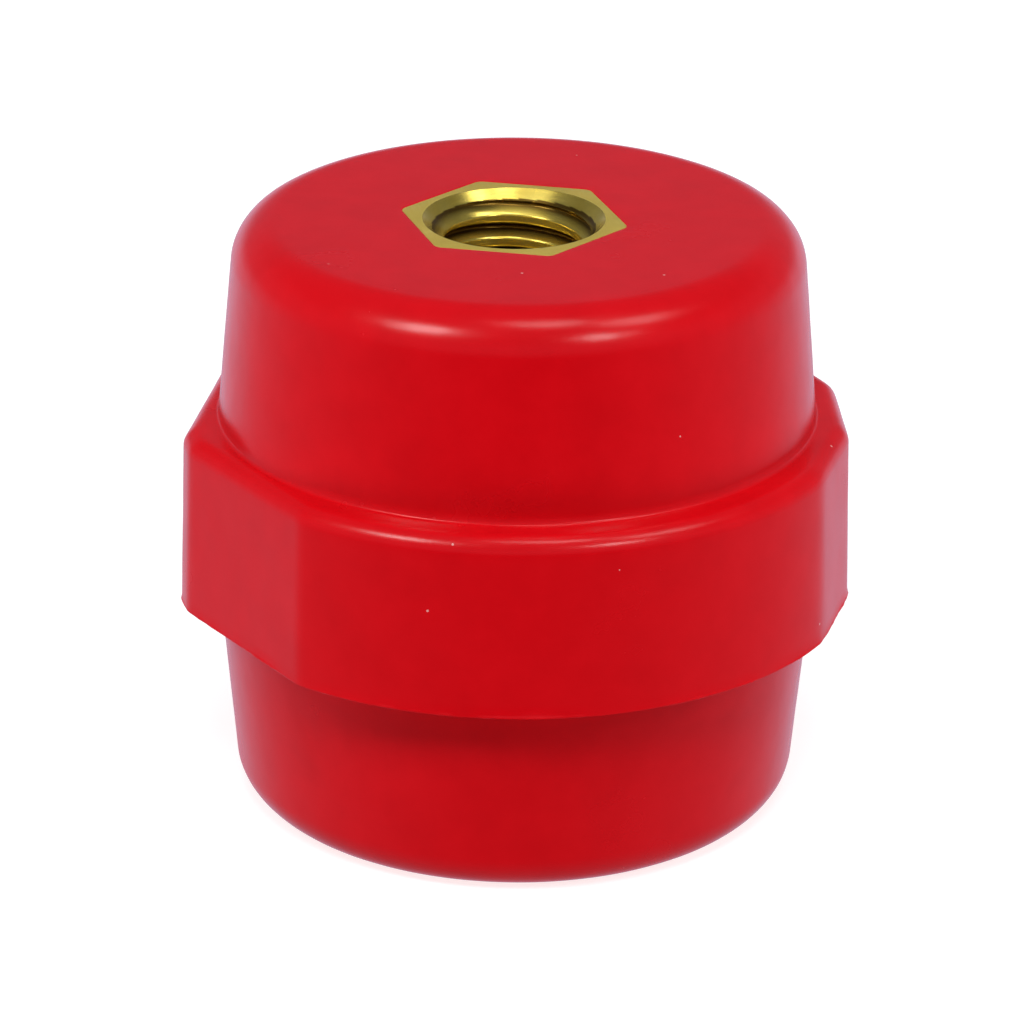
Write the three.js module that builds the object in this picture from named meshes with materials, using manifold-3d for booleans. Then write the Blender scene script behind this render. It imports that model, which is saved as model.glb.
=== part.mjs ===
// Moulded stand-off insulator: a red drum with a raised collar, and a threaded
// hexagonal brass insert moulded into each end. Millimetres, +Z up, with the
// origin at the centre of the face that the insulator stands on.

import * as THREE from 'three';
import { mergeVertices } from 'three/addons/utils/BufferGeometryUtils.js';
import Module from 'manifold-3d';

const wasm = await Module();
wasm.setup();

// Driving dimensions of the moulding
const HEIGHT = 30;
const END_RADIUS = 13.9;        // where the tapered side would meet an end face
const WAIST_RADIUS = 14.8;      // where the tapered side meets the collar
const EDGE_ROUND = 2.25;        // rounding between the side and an end face
const COLLAR_BOTTOM = 11;       // the mould parts in this plane
const COLLAR_TOP = 20;
const COLLAR_RADIUS = 16.9;
const COLLAR_ROUND = 0.6;       // rounding along the collar's upper edge
const COLLAR_DRAFT = 1.5;       // degrees, narrower towards the top
const REAR_FLAT = 15.95;        // axis to the two spanner flats on the +Y side
const REAR_TURN = 18;           // degrees from the X axis to the normals of those flats
const FRONT_LEFT_FLAT = 16.1;   // axis to the spanner flat on the -X, -Y side
const FRONT_RIGHT_FLAT = 16.45; // axis to the spanner flat on the +X, -Y side
const FRONT_TURN = 25;          // degrees from the X axis to the normals of those flats

// Driving dimensions of the brass inserts
const HEX_FLATS = 9.8;          // across flats
const INSERT_LENGTH = 12;
const GROOVE_RADIUS = 4.7;      // turned groove that locks the insert in the moulding
const GROOVE_WIDTH = 2.4;
const GROOVE_DEPTH = 7.5;       // from the end face to the middle of the groove
const THREAD_RADIUS = 4;        // M8
const THREAD_PITCH = 1.25;
const THREAD_DEPTH = 8;
const DRILL_RADIUS = 3.4;       // tapping drill
const DRILL_DEPTH = 9;          // to the shoulder of the drill point
const DRILL_POINT = 59;         // degrees, half of the drill's point angle
const MOUTH_RADIUS = 4.45;      // 90 degree countersink at the mouth
const UPPER_HEX_TURN = 39;      // degrees from the X axis to a corner
const LOWER_HEX_TURN = 21;

const INSERT_GAP = 0.1;         // clearance between brass and moulding

// Facets
const ROUND_STEPS = 72;
const EDGE_STEPS = 6;
const THREAD_STEPS = 24;        // facets in one turn of the thread
const ARC_STEP = 5;             // degrees, along the collar's round stretches

const rad = THREE.MathUtils.degToRad;
const CORE_RADIUS = THREAD_RADIUS - 0.5412 * THREAD_PITCH;   // ISO metric 60 degree profile

// A closed three.js geometry as a solid that can be joined and cut
function solid(geometry) {
  const bare = geometry.clone();
  bare.deleteAttribute('normal');
  bare.deleteAttribute('uv');
  const merged = mergeVertices(bare, 1e-5);
  const index = Array.from(merged.index.array);
  const triangles = [];
  for (let i = 0; i < index.length; i += 3) {
    const [a, b, c] = index.slice(i, i + 3);
    if (a !== b && b !== c && c !== a) triangles.push(a, b, c);
  }
  const mesh = new wasm.Mesh({
    numProp: 3,
    vertProperties: new Float32Array(merged.attributes.position.array),
    triVerts: new Uint32Array(triangles),
  });
  return new wasm.Manifold(mesh);
}

// A solid back as a flat-shaded three.js geometry
function geometryOf(shape) {
  const mesh = shape.getMesh();
  const geometry = new THREE.BufferGeometry();
  geometry.setAttribute('position', new THREE.BufferAttribute(mesh.vertProperties, 3));
  geometry.setIndex(new THREE.BufferAttribute(mesh.triVerts, 1));
  const faceted = geometry.toNonIndexed();
  faceted.computeVertexNormals();
  return faceted;
}

// A turned solid about Z from [radius, height] points that run upwards
function turned(points, steps = ROUND_STEPS) {
  const profile = points.map(([r, z]) => new THREE.Vector2(r, z));
  return solid(new THREE.LatheGeometry(profile, steps).rotateX(Math.PI / 2));
}

// Quarter-round points from the tapered side onto the upper end face
function endRound() {
  const taper = Math.atan((WAIST_RADIUS - END_RADIUS) / (HEIGHT - COLLAR_TOP));
  const centreZ = HEIGHT - EDGE_ROUND;
  const centreR = END_RADIUS - EDGE_ROUND * (1 - Math.sin(taper)) / Math.cos(taper);
  const points = [];
  for (let i = 0; i <= EDGE_STEPS; i += 1) {
    const angle = taper + (Math.PI / 2 - taper) * (i / EDGE_STEPS);
    points.push([centreR + EDGE_ROUND * Math.cos(angle), centreZ + EDGE_ROUND * Math.sin(angle)]);
  }
  return points;
}

// The drum: two tapered halves that widen towards the collar
function drum() {
  const upper = endRound();
  const lower = upper.map(([r, z]) => [r, HEIGHT - z]).reverse();
  return turned([
    [0, 0], ...lower,
    [WAIST_RADIUS, COLLAR_BOTTOM], [WAIST_RADIUS, COLLAR_TOP],
    ...upper, [0, HEIGHT],
  ]);
}

// The collar seen from above: round, with four flats in two pairs
function collarOutline(inset) {
  const radius = COLLAR_RADIUS - inset;
  const flats = [
    [REAR_TURN, REAR_FLAT], [180 - REAR_TURN, REAR_FLAT],
    [180 + FRONT_TURN, FRONT_LEFT_FLAT], [360 - FRONT_TURN, FRONT_RIGHT_FLAT],
  ];
  const ends = flats.map(([normal, distance]) => {
    const half = THREE.MathUtils.radToDeg(Math.acos(distance / COLLAR_RADIUS));
    return [normal - half, normal + half];
  });
  const points = [];
  ends.forEach(([, end], i) => {
    const next = i + 1 < ends.length ? ends[i + 1][0] : ends[0][0] + 360;
    const steps = Math.max(1, Math.round((next - end) / ARC_STEP));
    for (let k = 0; k <= steps; k += 1) {
      const angle = rad(end + (next - end) * (k / steps));
      points.push(new THREE.Vector2(radius * Math.cos(angle), radius * Math.sin(angle)));
    }
  });
  return points;
}

// The collar, rounded along its upper edge, square at the parting plane and tapered by its draft
function collar() {
  const spare = COLLAR_ROUND + 0.4;
  const shape = new THREE.Shape(collarOutline(COLLAR_ROUND));
  const block = new THREE.ExtrudeGeometry(shape, {
    depth: COLLAR_TOP - COLLAR_BOTTOM + spare - 2 * COLLAR_ROUND,
    bevelThickness: COLLAR_ROUND,
    bevelSize: COLLAR_ROUND,
    bevelSegments: 3,
  });
  block.translate(0, 0, COLLAR_BOTTOM - spare + COLLAR_ROUND);
  const corners = block.attributes.position;
  for (let i = 0; i < corners.count; i += 1) {
    const rise = corners.getZ(i) - COLLAR_BOTTOM;
    const scale = 1 - rise * Math.tan(rad(COLLAR_DRAFT)) / COLLAR_RADIUS;
    corners.setXY(i, corners.getX(i) * scale, corners.getY(i) * scale);
  }
  const below = new THREE.BoxGeometry(4 * COLLAR_RADIUS, 4 * COLLAR_RADIUS, COLLAR_BOTTOM);
  below.translate(0, 0, COLLAR_BOTTOM / 2);
  return solid(block).subtract(solid(below));
}

// The outside of an insert with its face at z = 0 and its length below, grown by a clearance
function insertBlank(clearance) {
  const corner = (HEX_FLATS / 2 + clearance) / Math.cos(Math.PI / 6);
  const length = INSERT_LENGTH + clearance;
  const hexagon = new THREE.CylinderGeometry(corner, corner, length, 6);
  hexagon.rotateX(Math.PI / 2).rotateZ(Math.PI / 2).translate(0, 0, -length / 2);
  const inner = GROOVE_RADIUS + clearance;
  const outer = 2 * corner;
  const low = -GROOVE_DEPTH - GROOVE_WIDTH / 2 + clearance;
  const high = -GROOVE_DEPTH + GROOVE_WIDTH / 2 - clearance;
  const ring = turned([[inner, low], [outer, low], [outer, high], [inner, high], [inner, low]], 36);
  return solid(hexagon).subtract(ring);
}

// The space that a tapped thread leaves: a rod whose surface follows the helix
function threadSpace() {
  const rows = [
    [0, THREAD_RADIUS], [1 / 8, THREAD_RADIUS],
    [7 / 16, CORE_RADIUS], [11 / 16, CORE_RADIUS],
  ];
  const turns = Math.ceil(THREAD_DEPTH / THREAD_PITCH) + 2;
  const rowCount = turns * rows.length + 1;
  const base = -THREAD_DEPTH - THREAD_PITCH;
  const vertices = [0, 0, base - THREAD_PITCH];
  for (let j = 0; j < rowCount + rows.length; j += 1) {
    const [part, radius] = rows[j % rows.length];
    const whole = Math.floor(j / rows.length);
    for (let i = 0; i < THREAD_STEPS; i += 1) {
      const angle = 2 * Math.PI * i / THREAD_STEPS;
      const z = base + (whole + part + i / THREAD_STEPS) * THREAD_PITCH;
      vertices.push(radius * Math.cos(angle), radius * Math.sin(angle), z);
    }
  }
  // Column THREAD_STEPS is column 0 one turn higher
  const at = (i, j) => (i < THREAD_STEPS ? 1 + j * THREAD_STEPS + i : 1 + (j + rows.length) * THREAD_STEPS);
  const apex = vertices.length / 3;
  vertices.push(0, 0, base + (turns + 2) * THREAD_PITCH);
  const faces = [];
  for (let j = 0; j < rowCount - 1; j += 1) {
    for (let i = 0; i < THREAD_STEPS; i += 1) {
      faces.push(at(i, j), at(i + 1, j), at(i + 1, j + 1), at(i, j), at(i + 1, j + 1), at(i, j + 1));
    }
  }
  const top = rowCount - 1;
  for (let i = 0; i < THREAD_STEPS; i += 1) {
    faces.push(0, at(i + 1, 0), at(i, 0), apex, at(i, top), at(i + 1, top));
  }
  for (let k = 0; k < rows.length; k += 1) {
    faces.push(0, at(0, k), at(0, k + 1), apex, at(0, top + k + 1), at(0, top + k));
  }
  const geometry = new THREE.BufferGeometry();
  geometry.setAttribute('position', new THREE.Float32BufferAttribute(vertices, 3));
  geometry.setIndex(faces);
  return solid(geometry);
}

// The blind tapped hole: drilled core, thread and countersunk mouth
function tappedHole() {
  const over = 1;
  const tip = DRILL_DEPTH + DRILL_RADIUS / Math.tan(rad(DRILL_POINT));
  const core = turned([[0, -tip], [DRILL_RADIUS, -DRILL_DEPTH], [DRILL_RADIUS, over], [0, over]], THREAD_STEPS);
  const lead = THREAD_RADIUS - CORE_RADIUS;
  const limit = turned([
    [0, -THREAD_DEPTH - lead], [CORE_RADIUS, -THREAD_DEPTH - lead],
    [THREAD_RADIUS + over, -THREAD_DEPTH + over], [THREAD_RADIUS + over, over], [0, over],
  ], THREAD_STEPS);
  const mouth = turned([[0, -MOUTH_RADIUS], [MOUTH_RADIUS + over, over], [0, over]], 2 * THREAD_STEPS);
  return threadSpace().intersect(limit).add(core).add(mouth);
}

function insertSolid() {
  return insertBlank(0).subtract(tappedHole());
}

// Places a shape made for the upper end at either end, turned to its corner angle
function atUpperEnd(shape) {
  return shape.rotate([0, 0, UPPER_HEX_TURN]).translate([0, 0, HEIGHT]);
}

function atLowerEnd(shape) {
  return shape.rotate([180, 0, 0]).rotate([0, 0, LOWER_HEX_TURN]);
}

function mouldedBody() {
  const pocket = insertBlank(INSERT_GAP);
  return drum().add(collar()).subtract(atUpperEnd(pocket)).subtract(atLowerEnd(pocket));
}

const redPlastic = new THREE.MeshStandardMaterial({ color: 0xc10d1a, roughness: 0.3, metalness: 0 });
const brass = new THREE.MeshStandardMaterial({ color: 0xb8923f, roughness: 0.3, metalness: 1 });

function part(name, shape, material) {
  const mesh = new THREE.Mesh(geometryOf(shape), material.clone());
  mesh.name = name;
  return mesh;
}

const insulator = new THREE.Group();
insulator.add(part('moulded_body', mouldedBody(), redPlastic));
insulator.add(part('upper_insert', atUpperEnd(insertSolid()), brass));
insulator.add(part('lower_insert', atLowerEnd(insertSolid()), brass));

export default insulator;
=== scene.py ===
# %% [markdown]
# # A moulded stand-off insulator with brass inserts
# Switchgear builders stand busbars off a metal panel on small red drums like this one.
# The drum is compression moulded from glass-filled polyester round two brass inserts,
# and each insert has a blind thread for the bolt that clamps the bar or the panel.
# This lesson builds the drum and the inserts as fine meshes that stand for the CAD pieces,
# gives them their moulded and machined finishes, and lights them like a small product.

# %% Load the frame
import math

import bmesh
import bpy
from mathutils import Matrix, Vector, noise


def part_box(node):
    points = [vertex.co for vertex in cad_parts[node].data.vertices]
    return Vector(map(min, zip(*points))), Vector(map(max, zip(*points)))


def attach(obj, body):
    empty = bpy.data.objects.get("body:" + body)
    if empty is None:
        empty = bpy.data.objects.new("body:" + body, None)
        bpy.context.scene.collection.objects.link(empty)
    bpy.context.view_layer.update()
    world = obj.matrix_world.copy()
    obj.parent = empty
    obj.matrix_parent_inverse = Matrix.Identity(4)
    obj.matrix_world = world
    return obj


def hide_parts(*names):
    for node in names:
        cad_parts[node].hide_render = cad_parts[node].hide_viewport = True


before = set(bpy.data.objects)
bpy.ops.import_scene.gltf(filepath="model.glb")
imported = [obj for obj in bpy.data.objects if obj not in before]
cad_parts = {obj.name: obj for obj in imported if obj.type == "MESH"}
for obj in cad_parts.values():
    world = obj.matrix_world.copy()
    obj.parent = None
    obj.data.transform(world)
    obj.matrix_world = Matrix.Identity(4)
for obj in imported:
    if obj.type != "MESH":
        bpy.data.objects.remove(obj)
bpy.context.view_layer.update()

print("CAD nodes:", sorted(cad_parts))

# %% [markdown]
# ## Working sizes
# The mesh code thinks in millimetres, as a toolmaker's drawing does, and the last step of
# each mesh turns them into metres. The overall height and the two ends of each insert are
# read from the CAD model, so a piece lands where the model says. The rest are the drawing's
# own sizes. The two halves of the moulding meet at the collar's lower edge. The collar's
# right side is a little worn, so a shallow blunting face breaks the corner between its
# flats.

# %% Sizes from the CAD model
MM = 0.001
drum_low, drum_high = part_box("moulded_body")
upper_low, upper_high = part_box("upper_insert")
HEIGHT = (drum_high.z - drum_low.z) / MM
INSERT_LENGTH = (upper_high.z - upper_low.z) / MM
print(f"height {HEIGHT:.1f} mm, insert length {INSERT_LENGTH:.1f} mm")

# %% Sizes of the moulding
END_RADIUS = 13.9
WAIST_RADIUS = 14.8
EDGE_ROUND = 2.25
COLLAR_BOTTOM, COLLAR_TOP = 11.0, 20.0
COLLAR_RADIUS = 16.9
COLLAR_ROUND = 0.85
COLLAR_DRAFT = math.radians(1.5)
REAR_TURN, FRONT_TURN = math.radians(18), math.radians(25)
REAR_LEFT_FLAT, REAR_RIGHT_FLAT = 15.95, 16.3
FRONT_LEFT_FLAT, FRONT_RIGHT_FLAT = 16.1, 16.55
CORNER_TURN = math.radians(6)
BLUNT_CORNER = 16.45
print(f"collar {COLLAR_TOP - COLLAR_BOTTOM:.1f} mm high, drum radius {END_RADIUS} to {WAIST_RADIUS} mm")

# %% Sizes of the inserts
HEX_FLATS = 9.8
GROOVE_RADIUS, GROOVE_MIDDLE, GROOVE_WIDTH = 4.7, 7.5, 2.4
THREAD_RADIUS, THREAD_PITCH, THREAD_DEPTH = 4.0, 1.25, 8.0
DRILL_RADIUS, DRILL_DEPTH = 3.4, 9.0
DRILL_POINT = DRILL_RADIUS / math.tan(math.radians(59))
MOUTH_RADIUS = 4.45
UPPER_HEX_TURN, LOWER_HEX_TURN = 39, 21
UPPER_SHIFT, LOWER_SHIFT = (-0.25, 0.05), (0.0, 0.0)
print(f"M{2 * THREAD_RADIUS:.0f} x {THREAD_PITCH} thread, drilled {DRILL_DEPTH + DRILL_POINT:.2f} mm deep")

# %% [markdown]
# ## The camera
# A long lens keeps the upright sides nearly parallel, as a catalogue picture does. The
# camera stands a little to one side of the collar's flats, looks down on the upper face,
# and is rolled by half a degree because a hand-set tripod is never quite level.

# %% Camera
CAMERA_DISTANCE = 247.2
CAMERA_AZIMUTH, CAMERA_ELEVATION = math.radians(-9.5), math.radians(22.9)
CAMERA_ROLL = math.radians(0.58)
CAMERA_LENS = 173.9
AIM_SIDEWAYS, AIM_UP = -0.21, -0.55


def outward(azimuth, elevation):
    """Unit vector from the piece towards a place seen at an azimuth and an elevation."""
    level = math.cos(elevation)
    return Vector((math.sin(azimuth) * level, -math.cos(azimuth) * level, math.sin(elevation)))


def aim_camera():
    back = outward(CAMERA_AZIMUTH, CAMERA_ELEVATION)
    side = Vector((math.cos(CAMERA_AZIMUTH), math.sin(CAMERA_AZIMUTH), 0))
    up = back.cross(side)
    centre = Vector((0, 0, HEIGHT / 2))
    place = centre + back * CAMERA_DISTANCE
    back = (place - centre - side * AIM_SIDEWAYS - up * AIM_UP).normalized()
    side = (side - back * side.dot(back)).normalized()
    up = back.cross(side)
    right = side * math.cos(CAMERA_ROLL) + up * math.sin(CAMERA_ROLL)
    above = back.cross(right)
    data = bpy.data.cameras.new("camera")
    data.lens = CAMERA_LENS
    data.clip_start, data.clip_end = 0.01, 10
    camera = bpy.data.objects.new("camera", data)
    camera.matrix_world = Matrix((right, above, back)).transposed().to_4x4()
    camera.location = place * MM
    bpy.context.scene.collection.objects.link(camera)
    bpy.context.scene.camera = camera
    return camera


camera = aim_camera()
print("camera at", [round(v, 4) for v in camera.location])

# %% [markdown]
# ## Meshes from rings
# Both pieces are turned or nearly turned, so each mesh is a stack of rings: every ring has
# the same number of points, one for each direction round the axis, and neighbouring rings
# are joined by quads. A hexagon or a flatted collar is only a ring whose radius depends on
# the direction. One helper joins the rings, and another closes both ends on the axis.

# %% Ring helpers
FIRST_RING = 2


def ring_faces(rings):
    """Quads between neighbouring rings, whose points follow the two tips."""
    count = len(rings[0])
    faces = []
    for j in range(len(rings) - 1):
        a, b = FIRST_RING + j * count, FIRST_RING + (j + 1) * count
        for i in range(count):
            k = (i + 1) % count
            faces.append((a + i, a + k, b + k, b + i))
    return faces


def ring_mesh(name, rings, low_tip, high_tip, sharp=35):
    """A closed mesh from rings of (x, y, z) in millimetres, ordered from one tip to the other."""
    count = len(rings[0])
    points = [low_tip, high_tip]
    for ring in rings:
        points += ring
    faces = ring_faces(rings)
    last = FIRST_RING + (len(rings) - 1) * count
    for i in range(count):
        k = (i + 1) % count
        faces.append((0, FIRST_RING + k, FIRST_RING + i))
        faces.append((1, last + i, last + k))
    return finished_mesh(name, points, faces, sharp)


# %% Mesh helpers
MERGE_DISTANCE, THINNEST_EDGE = 2e-7, 1e-7


def finished_mesh(name, points, faces, sharp):
    """Merges doubled points, faces all sides outwards and shades smooth up to an angle."""
    mesh = bpy.data.meshes.new(name)
    mesh.from_pydata([Vector(p) * MM for p in points], [], faces)
    work = bmesh.new()
    work.from_mesh(mesh)
    bmesh.ops.remove_doubles(work, verts=work.verts, dist=MERGE_DISTANCE)
    bmesh.ops.dissolve_degenerate(work, edges=work.edges, dist=THINNEST_EDGE)
    loose = [v for v in work.verts if not v.link_faces]
    bmesh.ops.delete(work, geom=loose, context="VERTS")
    bmesh.ops.recalc_face_normals(work, faces=work.faces)
    work.to_mesh(mesh)
    work.free()
    mesh.shade_smooth()
    mesh.set_sharp_from_angle(angle=math.radians(sharp))
    piece = bpy.data.objects.new(name, mesh)
    bpy.context.scene.collection.objects.link(piece)
    print(name, len(mesh.vertices), "points", len(mesh.polygons), "faces")
    return piece


def polar(radius, angle, z):
    return (radius * math.cos(angle), radius * math.sin(angle), z)


# %% [markdown]
# ## Shapes seen from above
# The hexagon bar has corners that are very slightly broken, because the drawn bar is never
# knife sharp. The collar is a circle cut by four spanner flats and one blunted corner. Its
# edges are softened by the mould's own polish, and more so on the worn right side. A smooth
# minimum blends the cuts: it is the radius of whichever surface is nearest the axis, rounded
# where two of them meet.

# %% Outline functions
CORNER_BREAK = 0.985
CRISP_EDGE, WORN_EDGE, BAR_EDGE = 30, 14, 60


def smooth_least(values, tightness):
    """The least of some values, rounded where two are close; a higher tightness is crisper."""
    least = min(values)
    total = sum(math.exp(-tightness * (v - least)) for v in values)
    return least - math.log(total) / tightness


def hexagon_radius(angle, turn, grow=0.0):
    """Distance from the axis to a hexagon bar's side, in a direction."""
    apothem = HEX_FLATS / 2 + grow
    corner = CORNER_BREAK * apothem / math.cos(math.pi / 6)
    step = (angle - math.radians(turn)) % (math.pi / 3) - math.pi / 6
    return smooth_least([apothem / math.cos(step), corner], BAR_EDGE)


COLLAR_FLATS = [
    (REAR_TURN, REAR_RIGHT_FLAT),
    (math.pi - REAR_TURN, REAR_LEFT_FLAT),
    (math.pi + FRONT_TURN, FRONT_LEFT_FLAT),
    (-FRONT_TURN, FRONT_RIGHT_FLAT),
    (-CORNER_TURN, BLUNT_CORNER),
]


def collar_radius(angle):
    """Distance from the axis to the collar's side at the parting plane, in a direction."""
    choices = [COLLAR_RADIUS]
    for normal, distance in COLLAR_FLATS:
        facing = math.cos(angle - normal)
        if facing > 0.5:    # a flat only matters within 60 degrees of its normal
            choices.append(distance / facing)
    worn = max(0.0, math.cos(angle))
    return smooth_least(choices, CRISP_EDGE + (WORN_EDGE - CRISP_EDGE) * worn)


print(f"collar {collar_radius(-math.pi / 2):.2f} mm in front, {collar_radius(REAR_TURN):.2f} mm on a flat")

# %% [markdown]
# ## The moulding's profile
# A moulding shows how it was made. Its sides taper so that it leaves the mould, every edge
# is rounded except the one where the two mould halves meet, and there a thin, ragged line
# of flash is left round the collar's lower edge. The rings below follow that profile from
# the floor of the upper pocket, over the top, down the outside and into the lower pocket.

# %% Profile helpers
COLUMNS = 360
ANGLES = [2 * math.pi * i / COLUMNS for i in range(COLUMNS)]
TAPER = math.atan((WAIST_RADIUS - END_RADIUS) / (HEIGHT - COLLAR_TOP))
ROUND_CENTRE = END_RADIUS - EDGE_ROUND * (1 - math.sin(TAPER)) / math.cos(TAPER)


def side_radius(height_from_end):
    """Radius of a tapered half, measured from its own end face."""
    return END_RADIUS + height_from_end * math.tan(TAPER)


def spread(start, end, steps):
    return [start + (end - start) * k / steps for k in range(steps + 1)]


def circle(radius, z):
    return [polar(radius, a, z) for a in ANGLES]


def hexagon(turn, z, shift, grow=0.0):
    points = [polar(hexagon_radius(a, turn, grow), a, z) for a in ANGLES]
    return [(x + shift[0], y + shift[1], z) for x, y, z in points]


def between(inner, outer, share):
    """A ring part of the way from one ring to another."""
    return [tuple(Vector(a).lerp(Vector(b), share)) for a, b in zip(inner, outer)]


# %% Rings of one half, from its pocket to its waist
SEAM_DEPTH = 0.03
SEAM_EDGE = ((0.02, 0.012), (0.05, 0.003), (0.1, 0.0))    # millimetres outwards, and deep
LAND_DEPTH = 1.0
FILLET = 0.15
FACE_STEPS, ROUND_STEPS, WALL_STEPS, FILLET_STEPS = 10, 20, 24, 6


def half_rings(turn, shift, waist, towards):
    """Rings from a pocket's floor, over the end face and down the side to the waist.
    towards is 1 for the upper half, whose face is at HEIGHT, and -1 for the lower."""
    face = HEIGHT if towards > 0 else 0.0

    def z(depth):
        return face - towards * depth

    rings = []
    low, high = GROOVE_MIDDLE + GROOVE_WIDTH / 2, GROOVE_MIDDLE - GROOVE_WIDTH / 2
    rings.append(hexagon(turn, z(INSERT_LENGTH), shift))
    rings.append(hexagon(turn, z(low), shift))
    for depth in (low, high):
        groove = circle(GROOVE_RADIUS, z(depth))
        rings.append([(x + shift[0], y + shift[1], h) for x, y, h in groove])
    rings.append(hexagon(turn, z(high), shift))
    rings.append(hexagon(turn, z(LAND_DEPTH), shift))
    rings.append(hexagon(turn, z(SEAM_DEPTH), shift))
    for out, depth in SEAM_EDGE:
        rings.append(hexagon(turn, z(depth), shift, out))
    edge, shoulder = rings[-1], circle(ROUND_CENTRE, face)
    for share in spread(0.1, 1.0, FACE_STEPS):
        rings.append(between(edge, shoulder, share))
    for bend in spread(math.pi / 2, TAPER, ROUND_STEPS)[1:]:
        radius = ROUND_CENTRE + EDGE_ROUND * math.cos(bend)
        rings.append(circle(radius, z(EDGE_ROUND * (1 - math.sin(bend)))))
    start = EDGE_ROUND * (1 - math.sin(TAPER))
    depth_to_waist = abs(face - waist)
    for depth in spread(start, depth_to_waist - FILLET, WALL_STEPS)[1:]:
        rings.append(circle(side_radius(depth), z(depth)))
    for bend in spread(0, math.pi / 2, FILLET_STEPS)[1:]:
        depth = depth_to_waist - FILLET * (1 - math.sin(bend))
        radius = side_radius(depth_to_waist) + FILLET * (1 - math.cos(bend))
        rings.append(circle(radius, z(depth)))
    return rings


# %% Flash at the parting line
FLASH_HEIGHT = 0.06
FLASH_MEAN, FLASH_SWING, FLASH_MOST = 0.03, 0.05, 0.1
LONG_WAVES, SHORT_WAVES = (4, 3.1), (34, 7.7)    # turns of the noise round the rim, and its layer
FLASH_PROFILE = ((1.2, 0.5), (0.6, 1.0), (-0.1, 1.0), (-0.5, 0.4))    # flash heights up, share out
PARTING_INSET = 0.06


def flash(angle):
    """How far the ragged flash stands out at the parting line, in millimetres."""
    swing = 0.0
    for waves, layer in (LONG_WAVES, SHORT_WAVES):
        swing += noise.noise(Vector((math.cos(angle) * waves, math.sin(angle) * waves, layer)))
    return min(FLASH_MOST, max(0.0, FLASH_MEAN + FLASH_SWING * swing))


# %% Rings of the collar
def collar_rings():
    """Rings from the upper waist, out over the collar's top, down its side and back in."""
    rings = []
    inner = side_radius(HEIGHT - COLLAR_TOP) + FILLET
    draft = math.tan(COLLAR_DRAFT)

    def outline(inset, z):
        return [polar(collar_radius(a) - inset, a, z) for a in ANGLES]

    def shelf(inset, share, z):
        """A ring part of the way from the drum to the collar's inset outline."""
        rims = [collar_radius(a) - inset for a in ANGLES]
        return [polar(inner + (rim - inner) * share, a, z) for rim, a in zip(rims, ANGLES)]

    top_inset = draft * (COLLAR_TOP - COLLAR_BOTTOM) + COLLAR_ROUND
    rings += [shelf(top_inset, share, COLLAR_TOP) for share in spread(0, 1, 4)[1:]]
    for bend in spread(math.pi / 2, 0, 10)[1:]:
        z = COLLAR_TOP - COLLAR_ROUND * (1 - math.sin(bend))
        inset = draft * (z - COLLAR_BOTTOM) + COLLAR_ROUND * (1 - math.cos(bend))
        rings.append(outline(inset, z))
    for z in spread(COLLAR_TOP - COLLAR_ROUND, COLLAR_BOTTOM + 2.5 * FLASH_HEIGHT, 16)[1:]:
        rings.append(outline(draft * (z - COLLAR_BOTTOM), z))
    for rise, share in FLASH_PROFILE:
        z = COLLAR_BOTTOM + rise * FLASH_HEIGHT
        rings.append([polar(collar_radius(a) + share * flash(a), a, z) for a in ANGLES])
    rings.append(outline(PARTING_INSET, COLLAR_BOTTOM - FLASH_HEIGHT / 2))
    rings += [shelf(PARTING_INSET, share, COLLAR_BOTTOM) for share in spread(1, 0, 4)[1:]]
    return rings


print(f"flash {max(flash(a) for a in ANGLES):.3f} mm at most")

# %% [markdown]
# ## A surface with life
# A polished steel mould is finished by hand, so the moulding's surface wanders by about a
# hundredth of a millimetre. The eye never sees the bumps, only the way that they break up
# a highlight. The wander is put into the mesh itself, so it is there in every view.

# %% Build the moulding
WANDER = 0.012
WANDER_START, WANDER_FADE = 6.5, 3.0
BROAD_WANDER, CLOSE_WANDER = 0.35, 0.9


def wander(point):
    """Moves an outer point along its radius by the mould's own unevenness."""
    x, y, z = point
    radius = math.hypot(x, y)
    share = min(1.0, max(0.0, radius - WANDER_START) / WANDER_FADE)
    place = Vector((x, y, z))
    waves = noise.noise(place * BROAD_WANDER) + 0.5 * noise.noise(place * CLOSE_WANDER)
    scale = 1 + share * WANDER * waves / max(radius, 1.0)
    return (x * scale, y * scale, z)


def build_moulding():
    upper = half_rings(UPPER_HEX_TURN, UPPER_SHIFT, COLLAR_TOP, 1)
    lower = half_rings(LOWER_HEX_TURN, LOWER_SHIFT, COLLAR_BOTTOM, -1)
    lower.reverse()
    rings = upper + collar_rings() + lower
    rings = [[wander(p) for p in ring] for ring in rings]
    return ring_mesh("moulding", rings, (0, 0, HEIGHT - INSERT_LENGTH), (0, 0, INSERT_LENGTH))


moulding = build_moulding()
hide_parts("moulded_body")
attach(moulding, "root")

# %% [markdown]
# ## The tapped hole
# A thread is a groove that climbs one pitch in each turn. If the rows of a mesh climb by
# the same amount, the groove runs exactly along them, and a few rows across the groove are
# enough for crisp flanks. Each row follows the helix from the bottom of the hole to above
# its mouth. Points that would leave the hole are stopped at the end face or at the drilled
# shoulder, where they fall together and merge.

# %% Thread profile
INSERT_COLUMNS = 216
ROWS_IN_PITCH = 28
FLANK = math.tan(math.radians(30))
THREAD_PHASE = 0.52
ROOT_EDGE, CREST_EDGE, MOUTH_EDGE = 30, 25, 60


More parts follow.
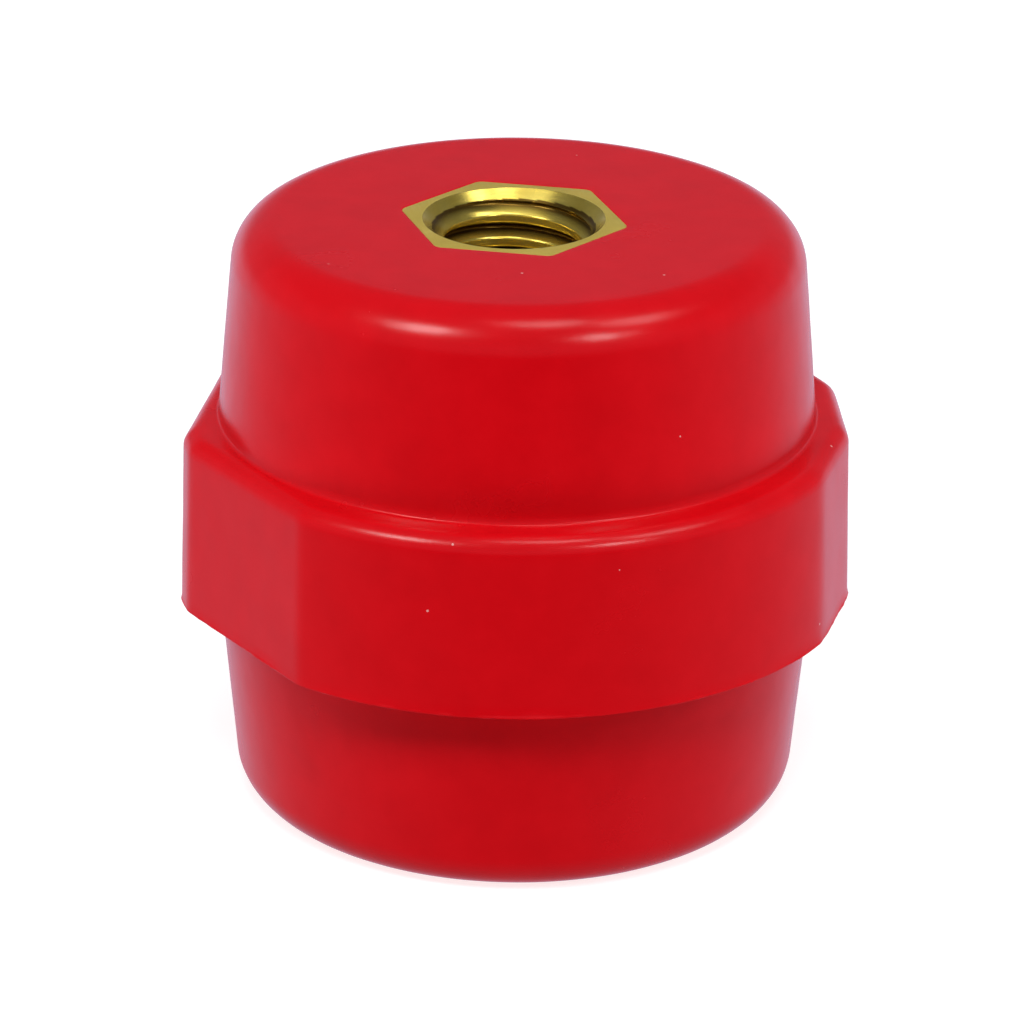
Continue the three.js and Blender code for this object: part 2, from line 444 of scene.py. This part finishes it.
def thread_radius(part):
    """Radius of the tapped wall at a part of one pitch, with the groove's floor at 0."""
    away = abs((part + 0.5) % 1 - 0.5) * THREAD_PITCH
    groove_floor = THREAD_PITCH / 16
    flank = THREAD_RADIUS - (away - groove_floor) / FLANK
    wall = smooth_least([THREAD_RADIUS, flank], ROOT_EDGE)
    return -smooth_least([-wall, -DRILL_RADIUS], CREST_EDGE)


def hole_radius(part, z):
    """Radius of the finished hole: the thread opened out by the countersink at the mouth."""
    fade = min(1.0, max(0.0, (z + THREAD_DEPTH + THREAD_PITCH) / THREAD_PITCH))
    threaded = DRILL_RADIUS + (thread_radius(part) - DRILL_RADIUS) * fade
    return -smooth_least([-max(threaded, DRILL_RADIUS), -MOUTH_RADIUS - z], MOUTH_EDGE)


# %% Rings and rows of an insert
INSERT_ANGLES = [2 * math.pi * i / INSERT_COLUMNS for i in range(INSERT_COLUMNS)]
BROKEN_EDGE, MOUTH_LAND = 0.02, 0.02


def insert_rings(turn):
    """Rings of the outside: from the hidden end, past the locking groove, to the face."""

    def bar(z, grow=0.0):
        return [polar(hexagon_radius(a, turn, grow), a, z) for a in INSERT_ANGLES]

    low = -GROOVE_MIDDLE - GROOVE_WIDTH / 2
    high = -GROOVE_MIDDLE + GROOVE_WIDTH / 2
    groove = [[polar(GROOVE_RADIUS, a, z) for a in INSERT_ANGLES] for z in (low, high)]
    rings = [bar(-INSERT_LENGTH), bar(low), groove[0], groove[1], bar(high)]
    rings += [bar(-BROKEN_EDGE), bar(-0.3 * BROKEN_EDGE, -0.3 * BROKEN_EDGE), bar(0.0, -BROKEN_EDGE)]
    rings.append([polar(MOUTH_RADIUS + MOUTH_LAND, a, 0.0) for a in INSERT_ANGLES])
    return rings


def hole_grid():
    """Rows of points that climb by one pitch, and so by ROWS_IN_PITCH rows, in each turn."""
    rows = math.ceil((DRILL_DEPTH + THREAD_PITCH) / THREAD_PITCH) * ROWS_IN_PITCH
    grid = []
    for j in range(-ROWS_IN_PITCH, rows + ROWS_IN_PITCH + 1):
        row = []
        for i, angle in enumerate(INSERT_ANGLES):
            part = j / ROWS_IN_PITCH
            z = -DRILL_DEPTH + (part + i / INSERT_COLUMNS) * THREAD_PITCH
            z = min(0.0, max(-DRILL_DEPTH, z))
            row.append(polar(hole_radius(part + THREAD_PHASE, z), angle, z))
        grid.append(row)
    return grid


# %% Two finishes on one mesh
MOUTH_MARGIN, THREAD_MARGIN, POINT_MARGIN = 0.01, 0.02, 0.5
FACED_SLOT, CUT_SLOT = 0, 1


def mark_finishes(mesh):
    """Puts the hole's faces in the cut slot, and notes how deep each point lies in a groove."""
    hole_end = -DRILL_DEPTH - DRILL_POINT - POINT_MARGIN
    for face in mesh.polygons:
        middle = face.center / MM
        inside = math.hypot(middle.x, middle.y) < MOUTH_RADIUS + MOUTH_MARGIN
        face.material_index = CUT_SLOT if inside and middle.z > hole_end else FACED_SLOT
    groove = mesh.attributes.new("groove", "FLOAT", "POINT")
    thread_top = THREAD_RADIUS - MOUTH_RADIUS + THREAD_MARGIN
    for vertex, value in zip(mesh.vertices, groove.data):
        x, y, z = vertex.co / MM
        depth = (math.hypot(x, y) - DRILL_RADIUS) / (THREAD_RADIUS - DRILL_RADIUS)
        value.value = min(1.0, max(0.0, depth)) if z < thread_top else 0.0


# %% Build an insert
def build_insert(name, turn):
    """One insert, face up at height 0, from its outer rings and the rows of its hole."""
    count = INSERT_COLUMNS
    rings = insert_rings(turn)
    grid = hole_grid()
    points = [(0, 0, -INSERT_LENGTH), (0, 0, -DRILL_DEPTH - DRILL_POINT)]
    for ring in rings:
        points += ring
    faces = ring_faces(rings)
    faces += [(0, FIRST_RING + (i + 1) % count, FIRST_RING + i) for i in range(count)]
    start = len(points)
    for row in grid:
        points += row

    def at(i, j):
        return start + j * count + i if i < count else start + (j + ROWS_IN_PITCH) * count

    top = len(grid) - 1 - ROWS_IN_PITCH
    for j in range(top):
        for i in range(count):
            faces.append((at(i, j), at(i, j + 1), at(i + 1, j + 1), at(i + 1, j)))
    rim = FIRST_RING + (len(rings) - 1) * count
    for i in range(count):
        k = (i + 1) % count
        faces.append((rim + i, rim + k, at(k, top), at(i, top)))
        faces.append((1, at(i, 0), at(k, 0)))
    piece = finished_mesh(name, points, faces, 40)
    mark_finishes(piece.data)
    return piece


# %% Set the inserts in the moulding
upper = build_insert("upper_brass", UPPER_HEX_TURN)
upper.data.transform(Matrix.Translation(Vector((*UPPER_SHIFT, HEIGHT)) * MM))
lower = build_insert("lower_brass", -LOWER_HEX_TURN)
lower.data.transform(Matrix.Rotation(math.pi, 4, "X"))
for piece, node in ((upper, "upper_insert"), (lower, "lower_insert")):
    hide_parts(node)
    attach(piece, "root")

# %% [markdown]
# ## Materials: node helpers
# A finish is a small network of nodes. These helpers add a node, set its sockets and link
# it in one call, so that each finish below reads as a recipe.

# %% Node helpers
def new_material(name):
    material = bpy.data.materials.new(name)
    material.use_nodes = True
    tree = material.node_tree
    tree.nodes.clear()
    output = tree.nodes.new("ShaderNodeOutputMaterial")
    shader = tree.nodes.new("ShaderNodeBsdfPrincipled")
    tree.links.new(shader.outputs["BSDF"], output.inputs["Surface"])
    return material, tree, shader


def add(tree, kind, outlet=0, settings=None, **sockets):
    """Adds a node, sets or links its sockets by name, and returns one of its outlets."""
    node = tree.nodes.new(kind)
    for key, value in (settings or {}).items():
        setattr(node, key, value)
    for key, value in sockets.items():
        socket = node.inputs[int(key[1:])] if key[0] == "_" else node.inputs[key.replace("_", " ")]
        if isinstance(value, bpy.types.NodeSocket):
            tree.links.new(value, socket)
        else:
            socket.default_value = value
    return node.outputs[outlet]


def ramp(tree, factor, stops):
    """A colour ramp from (position, colour) stops."""
    node = tree.nodes.new("ShaderNodeValToRGB")
    tree.links.new(factor, node.inputs["Fac"])
    elements = node.color_ramp.elements
    while len(elements) < len(stops):
        elements.new(0.5)
    for element, (position, colour) in zip(elements, stops):
        element.position = position
        element.color = colour
    return node.outputs["Color"]


def grey(value):
    return (value, value, value, 1)


# %% [markdown]
# ## The red moulding
# Polyester moulding compound is coloured right through. Its skin is glossy where the resin
# met the polished mould, with a faint mottle where the chopped glass lies close beneath.
# Here and there a glass end or a grain of dust shows as a pale speck. Colour, gloss and
# relief each get their own noise at their own scale, so no two of them line up.

# %% Red material
SPECK_SCALE = 900
SPECK_RARITY, SPECK_RADIUS, SPECK_STRENGTH = 0.93, 0.055, 0.7
SPECK_COLOUR = (0.85, 0.45, 0.42, 1)


def red_moulding():
    material, tree, shader = new_material("red_moulding")
    place = add(tree, "ShaderNodeTexCoord", 3)
    mottle = add(tree, "ShaderNodeTexNoise", Vector=place, Scale=420, Detail=3, Roughness=0.55)
    colour = ramp(tree, mottle, [
        (0.25, (0.60, 0.0016, 0.0048, 1)),
        (0.55, (0.64, 0.0020, 0.0056, 1)),
        (0.80, (0.67, 0.0026, 0.0066, 1)),
    ])
    cells = {"feature": "F1"}
    near = add(tree, "ShaderNodeTexVoronoi", 0, cells, Vector=place, Scale=SPECK_SCALE)
    lot = add(tree, "ShaderNodeTexVoronoi", 1, cells, Vector=place, Scale=SPECK_SCALE)
    chance = add(tree, "ShaderNodeSeparateColor", 0, Color=lot)
    rare = add(tree, "ShaderNodeMath", 0, {"operation": "GREATER_THAN"}, _0=chance, _1=SPECK_RARITY)
    small = add(tree, "ShaderNodeMath", 0, {"operation": "LESS_THAN"}, _0=near, _1=SPECK_RADIUS)
    speck = add(tree, "ShaderNodeMath", 0, {"operation": "MULTIPLY"}, _0=rare, _1=small)
    speck = add(tree, "ShaderNodeMath", 0, {"operation": "MULTIPLY"}, _0=speck, _1=SPECK_STRENGTH)
    mixed = add(tree, "ShaderNodeMix", 2, {"data_type": "RGBA"}, _0=speck, _6=colour, _7=SPECK_COLOUR)
    tree.links.new(mixed, shader.inputs["Base Color"])
    cloud = add(tree, "ShaderNodeTexNoise", Vector=place, Scale=190, Detail=4, Roughness=0.6)
    gloss = add(tree, "ShaderNodeMapRange", _0=cloud, _1=0.3, _2=0.7, _3=0.22, _4=0.28)
    tree.links.new(gloss, shader.inputs["Roughness"])
    fine = add(tree, "ShaderNodeTexNoise", Vector=place, Scale=1400, Detail=3, Roughness=0.5)
    relief = add(tree, "ShaderNodeBump", Height=fine, Strength=0.06, Distance=0.0001)
    tree.links.new(relief, shader.inputs["Normal"])
    shader.inputs["IOR"].default_value = 1.5
    return material


moulding.data.materials.append(red_moulding())

# %% [markdown]
# ## Brass
# The bar's end was faced before moulding and then rubbed flat with the moulding's face, so
# it has a satin, slightly dull skin. The countersink and the thread keep their cut surface,
# bright and ringed by the tool, with painted shade darkening the grooves. One metal, two
# finishes. The groove attribute of the mesh says where the painted shade lies.

# %% Brass materials
def faced_brass():
    material, tree, shader = new_material("faced_brass")
    place = add(tree, "ShaderNodeTexCoord", 3)
    patch = add(tree, "ShaderNodeTexNoise", Vector=place, Scale=500, Detail=4, Roughness=0.6)
    colour = ramp(tree, patch, [
        (0.3, (0.60, 0.45, 0.085, 1)),
        (0.6, (0.66, 0.50, 0.105, 1)),
        (0.8, (0.72, 0.56, 0.14, 1)),
    ])
    tree.links.new(colour, shader.inputs["Base Color"])
    stretched = add(tree, "ShaderNodeMapping", Vector=place, Scale=(6, 0.5, 1))
    lines = add(tree, "ShaderNodeTexNoise", Vector=stretched, Scale=1500, Detail=2)
    gloss = add(tree, "ShaderNodeMapRange", _0=lines, _1=0.3, _2=0.7, _3=0.50, _4=0.62)
    tree.links.new(gloss, shader.inputs["Roughness"])
    relief = add(tree, "ShaderNodeBump", Height=lines, Strength=0.15, Distance=0.00003)
    tree.links.new(relief, shader.inputs["Normal"])
    shader.inputs["Metallic"].default_value = 0.55
    return material


# Painted shade: the dark brown that the thread's grooves are coloured with.
GROOVE_SHADE_COLOUR = (0.10, 0.038, 0.002, 1)


def cut_brass():
    material, tree, shader = new_material("cut_brass")
    place = add(tree, "ShaderNodeTexCoord", 3)
    patch = add(tree, "ShaderNodeTexNoise", Vector=place, Scale=700, Detail=3)
    colour = ramp(tree, patch, [
        (0.3, (0.84, 0.61, 0.085, 1)),
        (0.7, (0.95, 0.75, 0.16, 1)),
    ])
    groove = add(tree, "ShaderNodeAttribute", 2, {"attribute_name": "groove"})
    # painted shade: the deeper a point lies in a thread groove, the more of the dark brown it gets
    groove_shade = add(tree, "ShaderNodeMapRange", _0=groove, _1=0.25, _2=0.85, _3=0.0, _4=0.9)
    shaded_colour = add(tree, "ShaderNodeMix", 2, {"data_type": "RGBA"}, _0=groove_shade, _6=colour, _7=GROOVE_SHADE_COLOUR)
    tree.links.new(shaded_colour, shader.inputs["Base Color"])
    squeezed = add(tree, "ShaderNodeMapping", Vector=place, Scale=(0.3, 0.3, 12))
    rings = add(tree, "ShaderNodeTexNoise", Vector=squeezed, Scale=900, Detail=2)
    gloss = add(tree, "ShaderNodeMapRange", _0=rings, _1=0.3, _2=0.7, _3=0.18, _4=0.27)
    tree.links.new(gloss, shader.inputs["Roughness"])
    relief = add(tree, "ShaderNodeBump", Height=rings, Strength=0.08, Distance=0.00002)
    tree.links.new(relief, shader.inputs["Normal"])
    shader.inputs["Metallic"].default_value = 0.9
    return material


faced, cut = faced_brass(), cut_brass()
for piece in (upper, lower):
    piece.data.materials.append(faced)
    piece.data.materials.append(cut)
print("finishes:", sorted(m.name for m in bpy.data.materials))

# %% [markdown]
# ## Floor
# A pale, back-lit sheet of acrylic under the piece, as catalogue photographers use to keep
# shadows faint. It only has to be plain. It is kept out of the gloss and out of the bounce,
# so that the red stays deep, and the lamps below shine through it.

# %% Floor
def lay_floor():
    half = 2.0    # metres, so that no edge is in sight
    mesh = bpy.data.meshes.new("floor")
    corners = [(-half, -half, 0), (half, -half, 0), (half, half, 0), (-half, half, 0)]
    mesh.from_pydata(corners, [], [(0, 1, 2, 3)])
    floor = bpy.data.objects.new("floor", mesh)
    bpy.context.scene.collection.objects.link(floor)
    material, tree, shader = new_material("back_lit_acrylic")
    shader.inputs["Base Color"].default_value = (0.4, 0.4, 0.4, 1)
    shader.inputs["Roughness"].default_value = 0.9
    shader.inputs["Emission Color"].default_value = (1, 1, 1, 1)
    shader.inputs["Emission Strength"].default_value = 0.8
    floor.data.materials.append(material)
    floor.visible_glossy = False
    floor.visible_diffuse = False
    floor.visible_shadow = False


lay_floor()

# %% [markdown]
# ## Light
# Four small lamps stand above the front and the right, and each draws its own soft
# highlight along the rounded edge. Wider fills stand in front, behind, at the sides and
# below the table, so that every side is lit, and a polariser keeps them out of the gloss.
# The strength of each lamp is stated as the share of full white that it gives to a surface
# that faces it, which is easier to balance than watts.

# %% Lamps
LAMP_DISTANCE = 0.5


def lamp(name, azimuth, elevation, share, size, glossy=True):
    """A round lamp that faces the piece; glossy=False keeps it out of every reflection."""
    out = outward(math.radians(azimuth), math.radians(elevation))
    data = bpy.data.lights.new(name, "AREA")
    data.shape = "DISK"
    data.size = size
    data.energy = share * math.pi ** 2 * LAMP_DISTANCE ** 2
    source = bpy.data.objects.new(name, data)
    source.location = Vector((0, 0, HEIGHT / 2 * MM)) + out * LAMP_DISTANCE
    source.rotation_mode = "QUATERNION"
    source.rotation_quaternion = out.to_track_quat("Z", "Y")
    source.visible_glossy = glossy
    data.cycles.use_multiple_importance_sampling = glossy
    bpy.context.scene.collection.objects.link(source)
    return source


lamp("lamp_left", -56, 48, 0.22, 0.15)
lamp("lamp_right_low", 27, 38, 0.10, 0.11)
lamp("lamp_right_high", 63, 58, 0.07, 0.15)
lamp("lamp_above", 23, 78, 0.07, 0.14)
lamp("fill_front", -9, 52, 0.52, 0.16, glossy=False)
lamp("fill_behind", 171, 35, 0.20, 0.3, glossy=False)
for turn in (-109, 91):
    lamp(f"fill_side_{turn}", turn, 10, 0.32, 0.25, glossy=False)
for turn in (-69, 51, 171):
    lamp(f"fill_below_{turn}", turn, -35, 0.42, 0.25, glossy=False)

# %% [markdown]
# ## A card for the brass
# Metal shows only what it reflects, so a product photographer holds a white card over it.
# Here the card is a wide lamp that only the two inserts receive.

# %% Card over the brass
card = lamp("brass_card", -9, 74, 0.26, 0.6)
inserts = bpy.data.collections.new("inserts")
inserts.objects.link(upper)
inserts.objects.link(lower)
card.light_linking.receiver_collection = inserts

# %% [markdown]
# ## The tent
# The gloss shows the room. Near the camera there is only darkness, at the sides the pale
# walls begin, and behind the piece the lit table stretches away below the horizon. That is
# what turns the far edges milky and leaves the front wall a deep, clean red.

# %% Tent
COOL = (0.95, 1.0, 1.3)


def cool(value):
    return (value * COOL[0], value * COOL[1], value * COOL[2], 1)


HORIZON_LOW, HORIZON_HIGH = -0.06, 0.14    # rise over which the table gives way to the wall


def pitch_tent():
    world = bpy.data.worlds.new("tent")
    bpy.context.scene.world = world
    world.use_nodes = True
    world.cycles.sampling_method = "NONE"
    tree = world.node_tree
    tree.nodes.clear()
    output = tree.nodes.new("ShaderNodeOutputWorld")
    direction = add(tree, "ShaderNodeTexCoord", 0)
    front = (math.sin(CAMERA_AZIMUTH), -math.cos(CAMERA_AZIMUTH), 0)
    facing = add(tree, "ShaderNodeVectorMath", 1, {"operation": "DOT_PRODUCT"}, _0=direction, _1=front)
    away = add(tree, "ShaderNodeMapRange", _0=facing, _1=1.0, _2=-1.0, _3=0.0, _4=1.0)
    table = ramp(tree, away, [
        (0.0, cool(0.0)), (0.18, cool(0.06)), (0.36, cool(0.13)), (0.54, cool(0.19)),
        (0.73, cool(0.30)), (0.9, cool(0.56)), (1.0, cool(0.80)),
    ])
    rise = add(tree, "ShaderNodeSeparateXYZ", 2, Vector=direction)
    near_table = add(tree, "ShaderNodeMapRange", _0=rise, _1=-0.22, _2=-0.36, _3=0.0, _4=0.03)
    table = add(tree, "ShaderNodeMix", 2, {"data_type": "RGBA", "blend_type": "ADD"},
                _0=near_table, _6=table, _7=grey(1.0))
    wall_share = add(tree, "ShaderNodeMapRange", _0=rise, _1=HORIZON_LOW, _2=HORIZON_HIGH, _3=0.0, _4=1.0)
    wall = ramp(tree, rise, [(0.0, cool(0.15)), (0.34, cool(0.15)), (0.6, cool(0.07)), (1.0, cool(0.10))])
    seen = add(tree, "ShaderNodeMix", 2, {"data_type": "RGBA"}, _0=wall_share, _6=table, _7=wall)
    path = tree.nodes.new("ShaderNodeLightPath")
    shown = add(tree, "ShaderNodeMix", 2, {"data_type": "RGBA"},
                _0=path.outputs["Is Camera Ray"], _6=seen, _7=grey(1.0))
    background = add(tree, "ShaderNodeBackground", Color=shown, Strength=1.0)
    tree.links.new(background, output.inputs["Surface"])


pitch_tent()
bpy.context.scene.view_settings.view_transform = "Standard"
